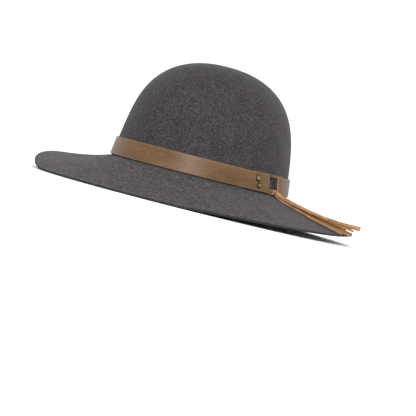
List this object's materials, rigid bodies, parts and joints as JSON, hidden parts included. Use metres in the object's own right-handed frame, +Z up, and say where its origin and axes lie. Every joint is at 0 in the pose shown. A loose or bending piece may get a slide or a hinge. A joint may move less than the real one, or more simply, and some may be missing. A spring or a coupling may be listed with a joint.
{
  "type": "wide-brim wool felt hat with a leather band and tassel",
  "caption": "Round-crown wide-brim wool felt hat, drooping front and rear, with a slotted leather band, domed rivets and a suede tassel that runs back along the brim.",
  "frame": {"origin": "on the surface that the brim rests on, under the middle of the hat's plan", "axes": "+Z up; -Y towards the front of the hat, +X towards the wearer's left, where the tassel is"},
  "size_m": [0.3452, 0.351, 0.1466],
  "materials": {
    "felt": "matt heathered wool felt",
    "sweatband": "woven black band, slight sheen",
    "leather": "satin grained leather",
    "suede": "napped suede",
    "rivet": "antique brass, worn"
  },
  "bodies": {
    "root": {"felt_body": "felt", "sweatband": "sweatband", "hat_band": "leather", "band_loop": "leather", "rivet_upper": "rivet", "rivet_lower": "rivet", "thong_wrap": "suede", "tassel": "suede"}
  },
  "joints": []
}
